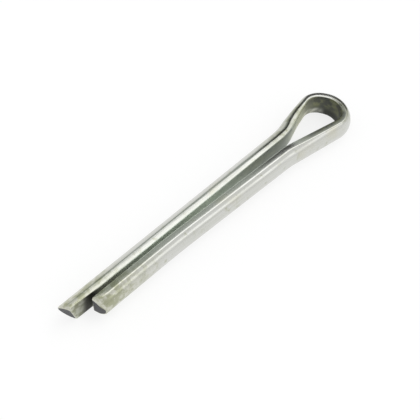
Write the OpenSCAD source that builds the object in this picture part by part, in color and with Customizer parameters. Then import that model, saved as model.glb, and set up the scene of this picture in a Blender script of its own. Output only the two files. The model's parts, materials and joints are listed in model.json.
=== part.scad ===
// Cotter pin (split pin): one length of half-round wire, folded at the middle so that
// its two flats face each other. The fold is the eye, and the two legs are the shank.
//
// Frame: +X runs along the shank towards the eye and +Z is square to the plane of the
// fold. The origin is on the shank's axis, where the eye seats against its hole.

/* [Wire] */
// Diameter of the round that the two legs make together, before the gap between them
shank_d = 4.5; // [4:0.1:5.4]
// How far in from the round each edge of the wire is flattened
edge_flat = 0.22; // [0.1:0.02:0.4]
// How much thinner the fold has pressed the wire round the eye
thinning = 0.46; // [0.2:0.02:0.6]
// Radius of the wire's back where it is pressed, flatter than the round
pressed_r = 2.8; // [2.4:0.1:4]

/* [Legs] */
// Length of the short leg, from the seat to the top corner of its end
short_leg = 40; // [30:0.5:60]
// How much further the long leg reaches
leg_step = 3.6; // [2:0.1:4]
// Gap between the flats at the tips
tip_gap = 0.5; // [0.3:0.05:0.7]
// Distance from the short leg's end to its slight outward set
set_from_end = 13; // [8:0.5:20]
// Angle of that set
set_angle = 1.8; // [1:0.1:2.2]
// Radius of that set
set_r = 150; // [100:10:200]

/* [Throat] */
// Distance before the seat at which the short leg starts to open into the eye
opening = 1.3; // [0.5:0.1:2.5]
// Radius of the short leg's bend into the eye
short_bend_r = 13.2; // [8:0.1:20]
// Angle of the short leg's bend into the eye
short_bend = 9.8; // [8:0.1:11]
// Radius of the long leg's bend into the eye
long_bend_r = 6.4; // [4:0.1:9]
// Angle of the long leg's bend into the eye
long_bend = 14.4; // [12.5:0.1:18]

/* [Eye] */
// Straight side of the eye next to the short leg
short_side = 8.8; // [7.5:0.1:10]
// Inside radius of the eye next to that side
near_r = 2.2; // [2:0.05:2.5]
// Angle that this radius turns through
near_arc = 69; // [60:1:75]
// Inside radius across the end of the eye
end_r = 2.6; // [2.4:0.05:3]
// Angle that this radius turns through
end_arc = 80; // [70:1:90]
// Inside radius of the eye next to the long leg's side
far_r = 2.8; // [2.5:0.05:3]

/* [Ends] */
// Angle of the long leg's cut, seen from above
long_cut = 23; // [0:1:30]
// Lean of the long leg's cut, undercutting the end
long_lean = 17; // [0:1:25]
// Angle of the short leg's cut, seen from above
short_cut = 16; // [0:1:30]
// Lean of the short leg's cut, undercutting the end
short_lean = 8; // [0:1:25]

/* [Hidden] */
$fn = 96;

// Radius of the wire's round back, and height over its two flattened edges
wire_r = shank_d / 2;
edge_h = shank_d - 2 * edge_flat;
// Spare length at each end, which the end cuts take away
end_spare = shank_d;
// Spare turn at the end of a bend, and the block that takes it away where the next run starts
turn_spare = 1;
trim_block = 4 * shank_d;
// How far the press stands clear of the wire at the throat, and how far it goes on past it
press_clearance = 0.05;
press_overrun = 1;
// The wire is drawn at a hundredth of its size and then scaled up, because the rounding
// left where one run passes into the next is then too small to leave a step
drawn = 0.01;

// The wire's path follows its flat. It is a list of runs, each [length, 0, 0] where it is
// straight or [0, radius, angle] where it bends, with the angle positive to the left. It
// starts at the short leg's end, goes round the eye and comes back along the long leg.
LENGTH = 0;
RADIUS = 1;
TURN = 2;

function end_of(at, run) =
    run[TURN] == 0
    ? [at.x + run[LENGTH] * cos(at.z), at.y + run[LENGTH] * sin(at.z), at.z]
    : let (r = sign(run[TURN]) * run[RADIUS], to = at.z + run[TURN])
      [at.x + r * (sin(to) - sin(at.z)), at.y - r * (cos(to) - cos(at.z)), to];

// Place and heading, [x, y, angle], at the start of run i
start = [-short_leg - end_spare, -tip_gap / 2, 0];
function pose(path, i) = i == 0 ? start : end_of(pose(path, i - 1), path[i - 1]);

before_set = set_from_end + end_spare;
x_after_set = start.x + before_set + set_r * sin(set_angle);
after_set = (-opening - x_after_set) / cos(set_angle);
short_leg_runs = [
    [before_set, 0, 0],
    [0, set_r, -set_angle],
    [after_set, 0, 0],
    [0, short_bend_r, -short_bend]
];
to_eye = concat(short_leg_runs, [[short_side, 0, 0]]);
eye_start = pose(to_eye, len(to_eye));

far_arc = 180 + set_angle + short_bend + long_bend - near_arc - end_arc;
to_side = concat(to_eye, [[0, near_r, near_arc], [0, end_r, end_arc], [0, far_r, far_arc]]);

// The long leg's side is as long as it takes to come back to the long leg's flat
bend_drop = long_bend_r * (1 - cos(long_bend));
long_side = (pose(to_side, len(to_side)).y - bend_drop - tip_gap / 2) / sin(long_bend);
to_long_leg = concat(to_side, [[long_side, 0, 0], [0, long_bend_r, -long_bend]]);
long_leg = pose(to_long_leg, len(to_long_leg)).x + short_leg + leg_step;
wire_path = concat(to_long_leg, [[long_leg + end_spare, 0, 0]]);

// Where the eye's two sides meet the throat
short_throat = pose(short_leg_runs, len(short_leg_runs));
long_throat = pose(to_long_leg, len(to_long_leg) - 1);

// The press follows the eye's curves, and leaves them at a slant that takes it clear of the
// wire by the time the eye's sides reach the throat
short_slant = asin((thinning + press_clearance) / short_side);
long_slant = asin((thinning + press_clearance) / long_side);
press_path = [
    [short_side + press_overrun, 0, 0],
    [0, near_r, near_arc - short_slant],
    [0, end_r, end_arc],
    [0, far_r, far_arc - long_slant],
    [long_side + press_overrun, 0, 0]
];

// Draws its children where a run ends
module at_end_of(run) {
    side = sign(run[TURN]) * run[RADIUS] * drawn;
    translate([run[LENGTH] * drawn, side, 0])
        rotate([0, 0, run[TURN]])
            translate([0, -side, 0])
                children();
}

// Carries a profile along a straight run. The profile's x points away from the flat.
module straight(run) {
    rotate([90, 0, 90])
        linear_extrude(run[LENGTH] * drawn)
            mirror([1, 0])
                scale(drawn)
                    children();
}

// Carries a profile round a bend, and cuts it off where the next run starts
module bend(run) {
    flip = run[TURN] < 0 ? 1 : 0;
    r = run[RADIUS] * drawn;
    difference() {
        mirror([0, flip, 0])
            translate([0, r, 0])
                rotate([0, 0, -90])
                    rotate_extrude(angle = abs(run[TURN]) + turn_spare)
                        translate([r, 0])
                            mirror([flip, 0])
                                scale(drawn)
                                    children();
        at_end_of(run)
            scale(drawn)
                translate([0, -trim_block / 2, -trim_block / 2])
                    cube(trim_block);
    }
}

// Carries a profile along a path, from run i on
module swept(path, i = 0) {
    if (path[i][TURN] == 0)
        straight(path[i])
            children();
    else
        bend(path[i])
            children();
    if (i < len(path) - 1)
        at_end_of(path[i])
            swept(path, i + 1)
                children();
}

// Half-round wire with flattened edges
module wire_profile() {
    intersection() {
        circle(wire_r);
        translate([0, -edge_h / 2])
            square([wire_r, edge_h]);
    }
}

// The room that the press leaves the wire: a flatter round, and a little behind the flat
module press_profile() {
    intersection() {
        translate([wire_r - thinning - pressed_r, 0])
            circle(pressed_r);
        translate([-wire_r / 2, -wire_r])
            square([shank_d, shank_d]);
    }
}

// Room on one side of the shank for a leg, as far as its throat
module leg_room(throat, side) {
    reach = short_leg + leg_step + 2 * end_spare;
    translate([throat.x - reach, side < 0 ? -shank_d : 0, -shank_d])
        cube([reach, shank_d, 2 * shank_d]);
}

// The folded wire before its ends are cut: the swept wire, where it is inside the press or
// on the legs' side of the throat. The press path starts part of the way round the near arc.
module fold() {
    scale(1 / drawn)
        intersection() {
            translate([start.x, start.y, 0] * drawn)
                swept(wire_path)
                    wire_profile();
            union() {
                translate([eye_start.x, eye_start.y, 0] * drawn)
                    rotate([0, 0, eye_start.z])
                        at_end_of([0, near_r, short_slant])
                            translate([-press_path[0][LENGTH] * drawn, 0, 0])
                                swept(press_path)
                                    press_profile();
                scale(drawn) {
                    leg_room(short_throat, -1);
                    leg_room(long_throat, 1);
                }
            }
        }
}

// Takes off the end of one leg: a plane through the top corner of its flat
module end_cut(tip, side, angle, lean) {
    reach = 2 * end_spare + shank_d;
    intersection() {
        translate(tip)
            rotate([0, -lean, angle])
                translate([-reach, -reach / 2, -reach / 2])
                    cube(reach);
        translate([tip.x - reach, side * reach / 2 - reach / 2, -reach / 2])
            cube([2 * reach, reach, reach]);
    }
}

module cotter_pin() {
    color("silver")
        difference() {
            fold();
            end_cut([-short_leg, -tip_gap / 2, edge_h / 2], -1, short_cut, short_lean);
            end_cut([-short_leg - leg_step, tip_gap / 2, edge_h / 2], 1, long_cut, long_lean);
        }
}

cotter_pin();
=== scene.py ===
"""Looks of the cotter pin: a zinc-plated, half-round wire, lying on a white studio floor.

The wire is drawn again here along the CAD part's path, with what shows in its reflections:
rounded corners and creases, flattened edges that dip towards the flat, ends rolled over by the
shear, drawing lines and the plating's stains. On the long leg's side of the eye it is also a
little thinner and further out than in the CAD. Lengths are in millimetres unless a line says
otherwise.
"""

import json
import math

import bpy
import numpy as np
from mathutils import Matrix, Vector

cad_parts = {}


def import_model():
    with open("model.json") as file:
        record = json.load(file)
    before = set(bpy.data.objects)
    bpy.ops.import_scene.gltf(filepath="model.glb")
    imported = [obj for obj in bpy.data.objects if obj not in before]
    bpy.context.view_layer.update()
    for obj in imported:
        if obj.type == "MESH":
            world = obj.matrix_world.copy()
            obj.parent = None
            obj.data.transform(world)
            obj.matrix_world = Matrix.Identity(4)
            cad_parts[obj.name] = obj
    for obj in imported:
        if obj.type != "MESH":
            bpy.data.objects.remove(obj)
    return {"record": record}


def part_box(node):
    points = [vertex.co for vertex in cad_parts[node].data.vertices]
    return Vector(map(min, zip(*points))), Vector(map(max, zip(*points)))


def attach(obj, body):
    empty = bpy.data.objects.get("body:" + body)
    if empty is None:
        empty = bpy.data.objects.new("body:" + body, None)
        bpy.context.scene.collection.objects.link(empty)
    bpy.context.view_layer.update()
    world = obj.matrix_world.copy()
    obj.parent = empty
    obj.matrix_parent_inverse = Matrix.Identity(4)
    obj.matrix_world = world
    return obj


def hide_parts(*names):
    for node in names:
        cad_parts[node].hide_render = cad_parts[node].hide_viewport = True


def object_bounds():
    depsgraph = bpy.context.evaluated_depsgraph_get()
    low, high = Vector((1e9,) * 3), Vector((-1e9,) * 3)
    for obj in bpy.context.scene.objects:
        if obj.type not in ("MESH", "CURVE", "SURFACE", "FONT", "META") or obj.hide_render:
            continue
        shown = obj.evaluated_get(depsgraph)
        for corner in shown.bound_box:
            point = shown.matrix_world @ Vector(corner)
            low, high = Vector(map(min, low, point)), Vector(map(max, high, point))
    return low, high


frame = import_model()
cad_low, cad_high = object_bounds()

MM = 0.001


# ---------------------------------------------------------------- sizes

# From the record and from the CAD node's box
record = frame["record"]
mounts = {m["name"]: m for m in record["mounts"]}
node_low, node_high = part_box("cotter_pin")
HALF_HEIGHT = (node_high.z - node_low.z) / 2 / MM
SHORT_LEG = mounts["shank"]["dims"]["length_mm"]
WIRE_R = mounts["shank"]["dims"]["r_mm"]

# How much thinner the wire is pressed round the eye, and how much flatter its back is
THINNING, PRESSED_R = 0.46, 2.8
# The eye's shoulder on the long leg's side: how far out it stands, how much thinner still its
# wire is, and how flat its back
SHOULDER_OUT, SHOULDER_THINNING, SHOULDER_R = 0.42, 0.32, 4.0

# The flat's rounded corners
CORNER_R = 0.18
CORNER_R_PAST_ARCH = 0.45
CORNER_R_AT_SHOULDER = 0.3
CORNER_R_AT_LONG_END = 0.4
# The rounded creases between the flattened edges and the back
CREASE_R = 0.45
CREASE_R_AT_EYE = 0.3
CREASE_R_PAST_EYE = 1.0
CREASE_R_AT_SHOULDER = 0.75
CREASE_R_AT_LONG_END = 0.15
# The flattened edges dip towards the flat, from a top at this share of their width
FACET_R, FACET_R_AT_EYE = 7.0, 4.5
FACET_TOP = 0.95

# The legs: the gap between them, how much further the long one reaches, and the short one's set
TIP_GAP = 0.5
LEG_STEP = 3.6
SET_FROM_END, SET_R, SET_ANGLE = 13, 150, math.radians(1.8)
# The throat: how far before the seat it opens, and the legs' bends into the eye
OPENING = 1.3
SHORT_BEND_R, SHORT_BEND = 13.2, math.radians(9.8)
LONG_BEND_R, LONG_BEND = 17.0, math.radians(14.4)
# The eye: the straight side next to the short leg, and three inside radii
SHORT_SIDE = 8.8
NEAR_R, NEAR_ARC = 2.2, math.radians(69)
END_R, END_ARC = 2.6, math.radians(80)
FAR_R = 2.8

# The sheared ends: the cut's angle seen from above, and its lean
SHORT_CUT, SHORT_LEAN = math.radians(16), math.radians(8)
LONG_CUT, LONG_LEAN = math.radians(23), math.radians(17)
# The radius of an end's edge, and how far back and down the shear has rolled its top over. Next
# to the flat it rolls by this share of that, which grows over this share of the wire's radius.
END_EDGE_R = 0.14
SHORT_ROLL, LONG_ROLL = (1.0, 1.15), (0.6, 0.35)
ROLL_AT_FLAT, ROLL_GROWTH = 0.25, 0.6
# How much further out than in the CAD the short leg is cut, to make up for its roll
SHORT_PROUD = 0.25
# Length at each end in which the wire has no rings but those of the end itself
END_SPARE = 2.0

# Two places along the wire, as shares of its length: the middle of the eye and of its arch
EYE_MIDDLE, ARCH_MIDDLE = 0.49, 0.51
# Zones, by the distance past one of those two. Each gives where it starts, where it is full,
# where it starts to fade and where it has gone.
IN_EYE = (-16, -12, 12, 16)
NEAR_SIDE = (-16, -12, -3, -1)
SHOULDER = (0.5, 3.5, 5.5, 11)
# Where the painted shade inside the eye eases
SHADE_EASED_INSIDE = (2, 5.5, 8.5, 12.5)
# Where a lighter painted reflection lies low inside the eye and on the flat by its far side
REFLECTION_INSIDE = (0.5, 2.5, 6, 12)
# Where the fold's top and bottom edges get a painted dark reflection
DARK_REFLECTION_ON_FOLD = (-4.5, -3, -1, 0.5)
DULLED_THROAT = (3, 6, 11, 19)
SOFT_CORNER_PAST_ARCH = (0, 3, 6.5, 10.5)
SOFT_CREASE_PAST_ARCH = (-6.5, -2.5, 16, 41)
# Painted shade inside the eye: it sets in, lightens by a part past the eye's middle and then by the rest,
# and eases by a further share by the eye's far side
DARKENS, LIGHTENS, CLEARS = (-16, -8), (0, 8), (16, 30)
LIGHTENED, SHADE_EASED = 0.42, 0.6
# Distances from an end: how far in it is stained, and how near the long tip its section changes
END_REACH, TIP_REACH = 14, 5
# Distances from where the short leg ends: the painted shadow that the short leg's end casts on the long
# leg's flat goes, and is full
GAP_SHADOW_GONE, GAP_SHADOW_FULL = 2.08, 0.48

# How far a surface's normal has to turn to count as facing the flat's way or up
FACING_FLAT, FACING_UP = (0.15, 0.5), (0.4, 0.8)
# On the eye's near side the flat's mask, and with it the painted shade inside the eye, spreads this much
# further round its corners, and the throat's dulling is this strong where the surface doesn't face up
NEAR_SIDE_SPREAD, DULLED_ASIDE = 0.3, 0.3

# How fine the mesh is, along the wire and round its section
STRAIGHT_STEP = 0.45
BEND_STEP = math.radians(2.5)
ROUNDING_STEPS, BACK_STEPS, FLAT_STEPS = 8, 40, 10
ROLL_STEPS = 5
SHEARED_RINGS = (0.97, 0.66, 0.33)


# ---------------------------------------------------------------- blends

def smooth(x):
    x = min(1.0, max(0.0, x))
    return x * x * (3 - 2 * x)


def rise(x, start, full):
    """0 before the start and 1 once full, with a smooth step between; full may come first."""
    return smooth((x - start) / (full - start))


def within(x, zone):
    """How much of a zone there is at x."""
    start, full, fade, gone = zone
    return rise(x, start, full) * (1 - rise(x, fade, gone))


def blend(a, b, share):
    return a + (b - a) * share


# ---------------------------------------------------------------- the wire's path

def end_of(at, run):
    """The place and heading at which a run ends; left turns are positive."""
    x, y, heading = at
    length, radius, turn = run
    if turn == 0:
        return x + length * math.cos(heading), y + length * math.sin(heading), heading
    r = math.copysign(radius, turn)
    to = heading + turn
    return (
        x + r * (math.sin(to) - math.sin(heading)),
        y - r * (math.cos(to) - math.cos(heading)),
        to,
    )


def follow(at, runs):
    for run in runs:
        at = end_of(at, run)
    return at


def wire_runs():
    """The runs from the short leg's end round the eye to the long leg's end, each as
    (length, radius, turn), and how full the wire's section is at the start and end of each,
    from 0, as pressed round the eye, to 1, as drawn."""
    start = (-SHORT_LEG, -TIP_GAP / 2, 0.0)
    set_end = start[0] + SET_FROM_END + SET_R * math.sin(SET_ANGLE)
    after_set = (-OPENING - set_end) / math.cos(SET_ANGLE)
    far_arc = math.pi + SET_ANGLE + SHORT_BEND + LONG_BEND - NEAR_ARC - END_ARC
    runs = [
        (SET_FROM_END, 0, 0),
        (0, SET_R, -SET_ANGLE),
        (after_set, 0, 0),
        (0, SHORT_BEND_R, -SHORT_BEND),
        (SHORT_SIDE, 0, 0),
        (0, NEAR_R, NEAR_ARC),
        (0, END_R, END_ARC),
        (0, FAR_R, far_arc),
    ]
    # The long leg's side is as long as it takes to come back to the long leg's flat
    drop = LONG_BEND_R * (1 - math.cos(LONG_BEND))
    side = (follow(start, runs)[1] - drop - TIP_GAP / 2) / math.sin(LONG_BEND)
    runs += [(side, 0, 0), (0, LONG_BEND_R, -LONG_BEND)]
    long_leg = follow(start, runs)[0] + SHORT_LEG + LEG_STEP
    runs += [(long_leg, 0, 0)]
    full = [(1, 1)] * 4 + [(1, 0)] + [(0, 0)] * 3 + [(0, 1)] + [(1, 1)] * 2
    return start, runs, full


def stations():
    """Points along the wire: x, y, heading, distance along the wire and fullness."""
    start, runs, full = wire_runs()
    rows, at, along = [], start, 0.0
    for run, (full_from, full_to) in zip(runs, full):
        length = run[0] or run[1] * abs(run[2])
        steps = math.ceil(max(run[0] / STRAIGHT_STEP, abs(run[2]) / BEND_STEP, 2))
        for i in range(steps):
            share = i / steps
            here = end_of(at, (run[0] * share, run[1], run[2] * share))
            rows.append((*here, along + length * share, blend(full_from, full_to, share)))
        at, along = end_of(at, run), along + length
    rows.append((*at, along, full[-1][1]))
    return rows


# ---------------------------------------------------------------- the wire's section

def arc(centre, radius, start, stop, steps):
    """Points on an arc with their outward normals, without the last one."""
    points = []
    for i in range(steps):
        a = start + (stop - start) * i / steps
        n = (math.cos(a), math.sin(a))
        points.append((centre[0] + radius * n[0], centre[1] + radius * n[1], n))
    return points


def line(a, b, n, steps):
    """Points on a line with their normal, without the last one."""
    return [(blend(a[0], b[0], i / steps), blend(a[1], b[1], i / steps), n) for i in range(steps)]


def direction(start, to):
    return math.atan2(to[1] - start[1], to[0] - start[0])


def where_circles_cross(a, a_r, b, b_r):
    """Of the two points where circles cross, the one to the left on the way from a to b."""
    apart = math.dist(a, b)
    along = (a_r ** 2 - b_r ** 2 + apart ** 2) / (2 * apart)
    across = math.sqrt(a_r ** 2 - along ** 2)
    ux, uy = (b[0] - a[0]) / apart, (b[1] - a[1]) / apart
    return a[0] + along * ux - across * uy, a[1] + along * uy + across * ux


def section(full, shoulder, facet_r, crease_r, corner_r):
    """The wire's outline as (distance from the flat, height, normal), from the top corner of the
    flat over the top edge, round the back, and by the bottom edge back up the flat."""
    back_r = blend(blend(PRESSED_R, WIRE_R, full), SHOULDER_R, shoulder)
    thickness = WIRE_R - THINNING * (1 - full) - SHOULDER_THINNING * shoulder
    back_c = (thickness - back_r, 0)
    crease_x = back_c[0] + math.sqrt(back_r ** 2 - HALF_HEIGHT ** 2)
    facet_c = (crease_x * FACET_TOP, HALF_HEIGHT - facet_r)
    corner_rise = math.sqrt((facet_r - corner_r) ** 2 - (facet_c[0] - corner_r) ** 2)
    corner_c = (corner_r, facet_c[1] + corner_rise)
    crease_c = where_circles_cross(back_c, back_r - crease_r, facet_c, facet_r - crease_r)
    facet_from, facet_to = direction(facet_c, corner_c), direction(facet_c, crease_c)
    back_from = direction(back_c, crease_c)
    upper = (
        arc(corner_c, corner_r, math.pi, facet_from, ROUNDING_STEPS)
        + arc(facet_c, facet_r, facet_from, facet_to, ROUNDING_STEPS)
        + arc(crease_c, crease_r, facet_to, back_from, ROUNDING_STEPS)
    )
    back = arc(back_c, back_r, back_from, -back_from, BACK_STEPS)
    last = arc(back_c, back_r, -back_from, -back_from, 1)
    lower = [(x, -z, (nx, -nz)) for x, z, (nx, nz) in reversed(upper)]
    flat = line((0, -corner_c[1]), (0, corner_c[1]), (-1, 0), FLAT_STEPS)[1:]
    return upper + back + last + lower + flat


def outline_at(row, total):
    """The wire's outline at a station, with its roundings as they change along the wire."""
    along, full = row[3:]
    past, past_arch = along - EYE_MIDDLE * total, along - ARCH_MIDDLE * total
    near_tip = rise(total - along, TIP_REACH, 0)
    shoulder = within(past, SHOULDER)
    facet_r = blend(FACET_R, FACET_R_AT_EYE, within(past, IN_EYE))
    crease_r = blend(CREASE_R, CREASE_R_AT_EYE, within(past, IN_EYE))
    crease_r = blend(crease_r, CREASE_R_PAST_EYE, within(past_arch, SOFT_CREASE_PAST_ARCH))
    crease_r = blend(crease_r, CREASE_R_AT_LONG_END, near_tip)
    crease_r = blend(crease_r, CREASE_R_AT_SHOULDER, shoulder)
    corner_r = blend(CORNER_R, CORNER_R_AT_LONG_END, near_tip)
    corner_r = blend(corner_r, CORNER_R_PAST_ARCH, within(past_arch, SOFT_CORNER_PAST_ARCH))
    corner_r = blend(corner_r, CORNER_R_AT_SHOULDER, shoulder)
    return section(full, shoulder, facet_r, crease_r, corner_r)


# ---------------------------------------------------------------- the wire's mesh

def placed(row, out, up):
    """The point that far out from the path, on the side of the wire's back, and that far up."""
    x, y, heading = row[:3]
    return np.array([x + out * math.sin(heading), y - out * math.cos(heading), up])


def ring(row, outline, total):
    moved_out = SHOULDER_OUT * within(row[3] - EYE_MIDDLE * total, SHOULDER)
    return [placed(row, moved_out + px, pz) for px, pz, n in outline]


def cut_plane(tip_x, tip_y, angle, lean):
    """A point and the outward normal of the plane that a leg's end is sheared on."""
    level = -math.cos(lean)
    normal = np.array([level * math.cos(angle), level * math.sin(angle), -math.sin(lean)])
    return np.array([tip_x, tip_y, HALF_HEIGHT]), normal


def onto(point, plane, behind):
    """The point, moved along X to that far behind a plane."""
    on_plane, normal = plane
    return point + np.array([(normal @ (on_plane - point) - behind) / normal[0], 0, 0])


def rolled_end(row, outline, plane, roll, turn):
    """The ring where the wire's sides roll over into its sheared end, turned from 0 to 90 degrees
    towards it. The shear has dragged the top over, back by roll[0] and down by roll[1]."""
    turned_in, left_behind = 1 - math.cos(turn), 1 - math.sin(turn)
    inset = END_EDGE_R * turned_in
    points = []
    for px, pz, n in outline:
        from_flat = blend(ROLL_AT_FLAT, 1, rise(px, 0, ROLL_GROWTH * WIRE_R))
        high = rise(pz, 0, HALF_HEIGHT) * from_flat
        point = placed(row, px - inset * n[0], pz - inset * n[1] - roll[1] * high * turned_in)
        points.append(onto(point, plane, (END_EDGE_R + roll[0] * high) * left_behind))
    return points


def end_rings(row, plane, roll, total):
    """The rings of one end, from its roll inwards over its sheared face."""
    outline = outline_at(row, total)
    rings = []
    for k in range(ROLL_STEPS + 1):
        turned = k / ROLL_STEPS
        rim = rolled_end(row, outline, plane, roll, math.pi / 2 * turned)
        rings.append((row[3], rim, outline, turned, 0))
    middle = sum(rim) / len(rim)
    for share in SHEARED_RINGS:
        rings.append((row[3], [blend(middle, p, share) for p in rim], outline, 0, 1))
    return rings


def wire_rings(rows, total):
    """All rings from the short leg's sheared face to the long one's, each as (distance along the
    wire, points, outline, how far turned in towards the sheared face, whether on that face)."""
    short_plane = cut_plane(-SHORT_LEG - SHORT_PROUD, -TIP_GAP / 2, SHORT_CUT, SHORT_LEAN)
    long_plane = cut_plane(-SHORT_LEG - LEG_STEP, TIP_GAP / 2, LONG_CUT, LONG_LEAN)
    rings = end_rings(rows[0], short_plane, SHORT_ROLL, total)[::-1]
    for row in rows:
        if END_SPARE < row[3] < total - END_SPARE:
            outline = outline_at(row, total)
            rings.append((row[3], ring(row, outline, total), outline, 0, 0))
    return rings + end_rings(rows[-1], long_plane, LONG_ROLL, total)


def eye_darkness(past):
    """How much painted shade the wire's flat gets inside the eye: most round the eye's near side, and
    less past its arch.
    """
    dark = rise(past, *DARKENS)
    dark -= LIGHTENED * rise(past, *LIGHTENS)
    dark -= (1 - LIGHTENED) * rise(past, *CLEARS)
    return dark * (1 - SHADE_EASED * within(past, SHADE_EASED_INSIDE))


def marks_at(along, outline, turned, sheared, total):
    """What the finish looks for at each point of a ring, each from 0 to 1."""
    past = along - EYE_MIDDLE * total
    from_step = abs(total - LEG_STEP - along)
    dulled_throat, dark_reflection_on_fold = within(past, DULLED_THROAT), within(past, DARK_REFLECTION_ON_FOLD)
    spread = NEAR_SIDE_SPREAD * within(past, NEAR_SIDE)
    round_ring = {
        # Painted shade on the flat inside the eye
        "eye": eye_darkness(past),
        # A painted reflection low inside the eye
        "rubbed": within(past, REFLECTION_INSIDE),
        "ends": rise(min(along, total - along), END_REACH, 0),
        # A painted shadow where the short leg's end shades the long leg's flat
        "grime": rise(from_step, GAP_SHADOW_GONE, GAP_SHADOW_FULL),
        "sheared": sheared,
    }
    points = []
    for px, pz, n in outline:
        facing_flat = rise(spread - n[0], *FACING_FLAT)
        facing_up = rise(abs(n[1]), *FACING_UP)
        # Dulling at the throat, and a painted dark reflection on the fold's top and bottom edges
        dulled = max(dulled_throat * blend(DULLED_ASIDE, 1, facing_up), dark_reflection_on_fold * facing_up)
        flat = facing_flat * (1 - sheared) * (1 - turned)
        points.append({"flat": flat, "dulled": dulled, **round_ring})
    return points


def wire_mesh():
    rows = stations()
    total = rows[-1][3]
    rings = wire_rings(rows, total)
    last_outline = rings[-1][2]
    count = len(last_outline)
    girth = [0.0]
    for i in range(count):
        girth.append(girth[-1] + math.dist(last_outline[i][:2], last_outline[(i + 1) % count][:2]))

    points, marks, faces, uvs = [], [], [], []
    for along, ring_points, outline, turned, sheared in rings:
        points += ring_points
        marks += marks_at(along, outline, turned, sheared, total)
    for i in range(len(rings) - 1):
        a, b = i * count, (i + 1) * count
        u0, u1 = rings[i][0], rings[i + 1][0]
        for j in range(count):
            k = (j + 1) % count
            faces.append((a + j, a + k, b + k, b + j))
            uvs += [(u0, girth[j]), (u0, girth[j + 1]), (u1, girth[j + 1]), (u1, girth[j])]
    # A hub in the middle of each sheared face closes the mesh
    for i, flip in ((0, True), (len(rings) - 1, False)):
        hub = len(points)
        points.append(sum(rings[i][1]) / count)
        marks.append({name: float(name in ("ends", "sheared")) for name in marks[0]})
        for j in range(count):
            a, b = i * count + j, i * count + (j + 1) % count
            faces.append((hub, b, a) if flip else (hub, a, b))
            uvs += [(rings[i][0], 0)] * 3

    mesh = bpy.data.meshes.new("wire")
    mesh.from_pydata([tuple(p * MM) for p in points], [], faces)
    layer = mesh.uv_layers.new(name="along_wire")
    layer.data.foreach_set("uv", np.array(uvs, np.float32).ravel())
    for name in marks[0]:
        values = np.array([mark[name] for mark in marks], np.float32)
        mesh.attributes.new(name, "FLOAT", "POINT").data.foreach_set("value", values)
    mesh.polygons.foreach_set("use_smooth", [True] * len(mesh.polygons))
    mesh.update()
    return mesh


# ---------------------------------------------------------------- finish

class Maker:
    """Adds nodes to a node tree."""

    def __init__(self, tree):
        self.tree = tree

    def add(self, kind, inputs=(), out=0, **settings):
        made = self.tree.nodes.new("ShaderNode" + kind)
        for name, value in settings.items():
            setattr(made, name, value)
        for name, value in dict(inputs).items():
            self.put(made.inputs[name], value)
        return None if out is None else made.outputs[out]

    def put(self, socket, value):
        if isinstance(value, bpy.types.NodeSocket):
            self.tree.links.new(value, socket)
        else:
            socket.default_value = value

    def mark(self, name):
        """The value that the mesh has for this mark."""
        return self.add("Attribute", out="Fac", attribute_name=name)

    def plus(self, a, b):
        return self.add("Math", {0: a, 1: b}, operation="ADD")

    def times(self, a, b):
        return self.add("Math", {0: a, 1: b}, operation="MULTIPLY")

    def most(self, a, b):
        return self.add("Math", {0: a, 1: b}, operation="MAXIMUM")

    def noise(self, coordinate, scale, detail, roughness, stretch=(1, 1, 1)):
        placed_at = self.add("Mapping", {"Vector": coordinate, "Scale": stretch})
        settings = {"Scale": scale, "Detail": detail, "Roughness": roughness}
        return self.add("TexNoise", {"Vector": placed_at, **settings})

    def between(self, value, low, high, to_low=0.0, to_high=1.0):
        """A smooth step as the value goes from low to high."""
        source = {"Value": value, "From Min": low, "From Max": high}
        target = {"To Min": to_low, "To Max": to_high}
        return self.add("MapRange", {**source, **target}, interpolation_type="SMOOTHSTEP")

    def mix(self, share, a, b):
        made = self.tree.nodes.new("ShaderNodeMix")
        made.data_type = "RGBA"
        self.put(made.inputs["Factor"], share)
        self.put(made.inputs["A"], a)
        self.put(made.inputs["B"], b)
        return made.outputs["Result"]


def fresh_material(name):
    """A new material with no nodes, and a maker of its nodes."""
    material = bpy.data.materials.new(name)
    material.use_nodes = True
    material.node_tree.nodes.clear()
    return material, Maker(material.node_tree)


PLATE = (0.64, 0.645, 0.615, 1)
STAIN = (0.46, 0.47, 0.37, 1)
BEIGE = (0.61, 0.60, 0.51, 1)
# Dulling at the throat, and a painted dark reflection on the fold's edges
DULLED_AND_DARK_REFLECTION = (0.36, 0.37, 0.29, 1)
PLATE_AT_END = (0.38, 0.39, 0.27, 1)
SPOTS_AT_END = (0.60, 0.60, 0.52, 1)
FLAT_SIDE = (0.76, 0.81, 0.735, 1)
FLAT_AT_END = (0.33, 0.34, 0.24, 1)
FLAT_SPOTS_AT_END = (0.56, 0.57, 0.48, 1)
# A painted shadow of the short leg's end
PAINTED_GAP_SHADOW = (0.05, 0.05, 0.04, 1)
# Painted shade inside the eye, darker towards the bottom
EYE_INSIDE_SHADE = (0.095, 0.10, 0.085, 1)
EYE_INSIDE_LOW_SHADE = (0.06, 0.063, 0.055, 1)
EYE_OLIVE = (0.22, 0.23, 0.13, 1)
# Painted reflections: on the flat by the eye's far side, and low inside the eye
FLAT_PAINTED_REFLECTION = (0.68, 0.70, 0.52, 1)
EYE_PAINTED_REFLECTION = (0.85, 0.86, 0.76, 1)
# Bare steel, painted near black for the shade on the down-turned sheared faces
BARE_STEEL_AND_SHADE = (0.08, 0.08, 0.085, 1)


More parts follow.
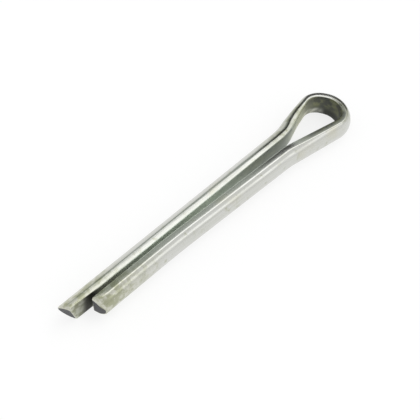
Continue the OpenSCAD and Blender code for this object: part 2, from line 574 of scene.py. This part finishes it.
def plate_colour(m, wire, mottle, cloud, spots):
    """The plate on the wire's back and edges: stained, spotted at the ends, dulled at the throat, and
    with a painted dark reflection on the fold's top and bottom edges.
    """
    ends = m.mark("ends")
    stained = m.between(m.plus(mottle, m.times(ends, 0.2)), 0.55, 0.84)
    colour = m.mix(stained, PLATE, STAIN)
    colour = m.mix(m.between(cloud, 0.58, 0.80), colour, BEIGE)
    colour = m.mix(ends, colour, m.mix(spots, PLATE_AT_END, SPOTS_AT_END))
    streaks = m.noise(wire, scale=1.0, detail=2, roughness=0.5, stretch=(0.12, 2.2, 1))
    colour = m.mix(m.between(streaks, 0.35, 0.65, 0.0, 0.16), colour, STAIN)
    # Dulling at the throat, and a painted dark reflection on the fold's edges
    dulled = m.times(m.mark("dulled"), m.between(mottle, 0.4, 0.58, 0.5, 1.0))
    return m.mix(dulled, colour, DULLED_AND_DARK_REFLECTION)


def flat_colour(m, spots):
    """The wire's flat side along the legs, with a painted reflection by the eye's far side and a painted
    shadow where the short leg ends.
    """
    # A painted reflection by the eye's far side
    flat_with_reflection = m.mix(m.mark("rubbed"), FLAT_SIDE, FLAT_PAINTED_REFLECTION)
    at_end = m.mix(spots, FLAT_AT_END, FLAT_SPOTS_AT_END)
    # A painted shadow where the short leg ends
    return m.mix(m.mark("grime"), m.mix(m.mark("ends"), flat_with_reflection, at_end), PAINTED_GAP_SHADOW)


def eye_colour(m, place):
    """The wire's flat side inside the eye: painted shade, darker towards the bottom, with olive patches
    and a patchy painted reflection along its lower edge.
    """
    rubbed = m.mark("rubbed")
    height = m.add("SeparateXYZ", {"Vector": place}, out="Z")
    # Painted shade, darker towards the bottom
    lower = m.between(height, 0.2 * MM, -1.2 * MM)
    upper = m.between(height, -0.8 * MM, 0.2 * MM)
    olive = m.between(m.noise(place, scale=500, detail=3, roughness=0.6), 0.42, 0.56)
    olive = m.times(m.times(olive, m.between(rubbed, 0, 1, 0.6, 1.0)), upper)
    # A patchy painted reflection along the lower edge
    patchy = m.between(m.noise(place, scale=420, detail=3, roughness=0.6), 0.42, 0.58, 0.3, 1.0)
    lower_edge = m.times(m.between(height, -0.3 * MM, -1.3 * MM), patchy)
    colour = m.mix(olive, m.mix(lower, EYE_INSIDE_SHADE, EYE_INSIDE_LOW_SHADE), EYE_OLIVE)
    return m.mix(m.times(lower_edge, rubbed), colour, EYE_PAINTED_REFLECTION)


def zinc():
    """Zinc plate, stained where the mesh's marks say, with painted shade, shadow and reflections where
    they say, and bare steel on the sheared ends, painted near black for the shade on these down-turned
    faces.
    """
    material = bpy.data.materials.new("zinc_plate")
    material.use_nodes = True
    shader = material.node_tree.nodes["Principled BSDF"]
    m = Maker(material.node_tree)
    flat, sheared = m.mark("flat"), m.mark("sheared")
    wire = m.add("UVMap", uv_map="along_wire")
    place = m.add("TexCoord", out="Object")
    lines = m.noise(wire, scale=1.0, detail=3, roughness=0.6, stretch=(0.25, 9.0, 1))
    mottle = m.noise(place, scale=900, detail=3, roughness=0.55)
    cloud = m.noise(place, scale=180, detail=2, roughness=0.5)
    spots = m.between(m.noise(place, scale=800, detail=4, roughness=0.6), 0.42, 0.58)

    colour = m.mix(flat, plate_colour(m, wire, mottle, cloud, spots), flat_colour(m, spots))
    # Painted shade inside the eye
    colour = m.mix(m.times(flat, m.mark("eye")), colour, eye_colour(m, place))
    # Painted shade on the sheared ends
    colour = m.mix(sheared, colour, BARE_STEEL_AND_SHADE)
    rough = m.plus(m.between(cloud, 0.3, 0.7, 0.14, 0.20), m.between(lines, 0.3, 0.7, -0.03, 0.05))
    rough = m.plus(m.plus(rough, m.times(flat, 0.40)), m.times(sheared, 0.4))
    relief = m.plus(m.times(lines, 0.6), m.times(mottle, 0.8))
    bump = m.add("Bump", {"Height": relief, "Strength": 1.0, "Distance": 0.01 * MM})
    m.put(shader.inputs["Base Color"], colour)
    m.put(shader.inputs["Roughness"], rough)
    m.put(shader.inputs["Normal"], bump)
    m.put(shader.inputs["Metallic"], m.between(sheared, 0, 1, 1.0, 0.2))
    return material


# ---------------------------------------------------------------- studio

# Colours of the studio are shares of full white
FLOOR_LIT, FLOOR_SEEN = 0.28, 0.755
WALLS = 0.89
GREENISH = (0.96, 1.04, 0.96)
FLOOR_SIZE = 4.0  # metres
# A card is solid over this share of its radius, and fades out from there to its edge
CARD_SOLID = 0.7

# The camera looks down on the pin from the short leg's end, with the long lens of a catalogue
# view. It aims at a point on the shank, this far from the middle of the part's box.
AIM = (-1.318, 0.036, 0)
AZIMUTH, ELEVATION, ROLL = math.radians(-145.138), math.radians(54.483), math.radians(10.09)
DISTANCE = 173.136
LENS, SENSOR = 100.82, 36
CLIP = (0.01, 10)  # metres


def heading_to(azimuth, elevation):
    """The unit vector that points that way, from angles in radians."""
    level = math.cos(elevation)
    return Vector((math.cos(azimuth) * level, math.sin(azimuth) * level, math.sin(elevation)))


def floor():
    """A white floor that keeps the pin's shadow. What the camera sees, straight or by a mirror or
    glass, is whiter than the light that the floor throws back."""
    bpy.ops.mesh.primitive_plane_add(size=FLOOR_SIZE, location=(0, 0, cad_low.z))
    o = bpy.context.object
    o.name = "floor"
    material, m = fresh_material("floor")
    path = m.tree.nodes.new("ShaderNodeLightPath").outputs
    seen = m.most(m.most(path["Is Camera Ray"], path["Is Glossy Ray"]), path["Is Transmission Ray"])
    lit = m.add("BsdfDiffuse", {"Color": (FLOOR_LIT, FLOOR_LIT, FLOOR_LIT, 1)})
    white = m.add("Emission", {"Color": (1, 1, 1, 1), "Strength": m.times(seen, FLOOR_SEEN)})
    m.add("OutputMaterial", {"Surface": m.add("AddShader", {0: lit, 1: white})}, out=None)
    o.data.materials.append(material)


def world():
    """Pale walls with a lamp overhead, a smaller one aside, and a dim corner behind the eye."""
    studio = bpy.data.worlds.new("studio")
    bpy.context.scene.world = studio
    studio.use_nodes = True
    m = Maker(studio.node_tree)
    background = studio.node_tree.nodes["Background"]
    toward = m.add("TexCoord", out="Generated")

    def patch(behind, azimuth, elevation, full, gone, value, tint=(1, 1, 1)):
        """A round patch of another brightness than what is behind it, in degrees: where its
        middle is, how far from there it is full, and where it has gone."""
        middle = heading_to(math.radians(azimuth), math.radians(elevation))
        facing = {0: toward, 1: tuple(middle)}
        closeness = m.add("VectorMath", facing, out="Value", operation="DOT_PRODUCT")
        share = m.between(closeness, math.cos(math.radians(gone)), math.cos(math.radians(full)))
        return m.mix(share, behind, (*(value * t for t in tint), 1))

    colour = (WALLS, WALLS, WALLS, 1)
    colour = patch(colour, azimuth=-2, elevation=62, full=16, gone=20, value=1.62)
    colour = patch(colour, azimuth=-62, elevation=22, full=5, gone=10, value=1.45)
    colour = patch(colour, azimuth=62, elevation=42, full=20, gone=24, value=0.42, tint=GREENISH)
    m.put(background.inputs["Color"], colour)
    background.inputs["Strength"].default_value = 1.0


def card(name, beside, azimuth, elevation, distance, reach, value):
    """A round dark card with a soft edge, which only reflections show. It stands that way from a
    place on the shank's axis, and from there it reaches that many degrees about its middle."""
    toward = heading_to(math.radians(azimuth), math.radians(elevation))
    radius = distance * math.tan(math.radians(reach)) * MM
    bpy.ops.mesh.primitive_circle_add(
        vertices=64,
        radius=radius,
        fill_type="NGON",
        location=(Vector((beside, 0, 0)) + toward * distance) * MM,
    )
    o = bpy.context.object
    o.name = name
    o.rotation_mode = "QUATERNION"
    o.rotation_quaternion = toward.to_track_quat("Z", "Y")
    o.visible_camera = False
    o.visible_diffuse = False
    o.visible_shadow = False
    material, m = fresh_material(name)
    place = m.add("TexCoord", out="Object")
    from_middle = m.add("VectorMath", {0: place}, out="Value", operation="LENGTH")
    dark = m.add("BsdfDiffuse", {"Color": (value, value, value, 1)})
    faded = {0: m.between(from_middle, CARD_SOLID * radius, radius), 1: dark, 2: m.add("BsdfTransparent")}
    m.add("OutputMaterial", {"Surface": m.add("MixShader", faded)}, out=None)
    o.data.materials.append(material)


def camera():
    data = bpy.data.cameras.new("camera")
    data.sensor_width = SENSOR
    data.lens = LENS
    data.clip_start, data.clip_end = CLIP
    o = bpy.data.objects.new("camera", data)
    bpy.context.scene.collection.objects.link(o)
    toward = heading_to(AZIMUTH, ELEVATION)
    o.location = (cad_low + cad_high) / 2 + (Vector(AIM) + toward * DISTANCE) * MM
    o.rotation_mode = "QUATERNION"
    level = toward.to_track_quat("Z", "Y")
    o.rotation_quaternion = level @ Matrix.Rotation(ROLL, 4, "Z").to_quaternion()
    bpy.context.scene.camera = o


# ---------------------------------------------------------------- build

wire = bpy.data.objects.new("pin_wire", wire_mesh())
bpy.context.scene.collection.objects.link(wire)
wire.data.materials.append(zinc())
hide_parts("cotter_pin")
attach(wire, "root")

floor()
world()
card("card_beside_eye", beside=10, azimuth=40, elevation=29, distance=50, reach=23, value=0.50)
card("card_past_eye", beside=13.5, azimuth=55, elevation=51, distance=40, reach=17, value=0.24)
card("card_behind_eye", beside=12, azimuth=28, elevation=12, distance=16, reach=42, value=0.26)
camera()
bpy.context.scene.view_settings.view_transform = "Standard"
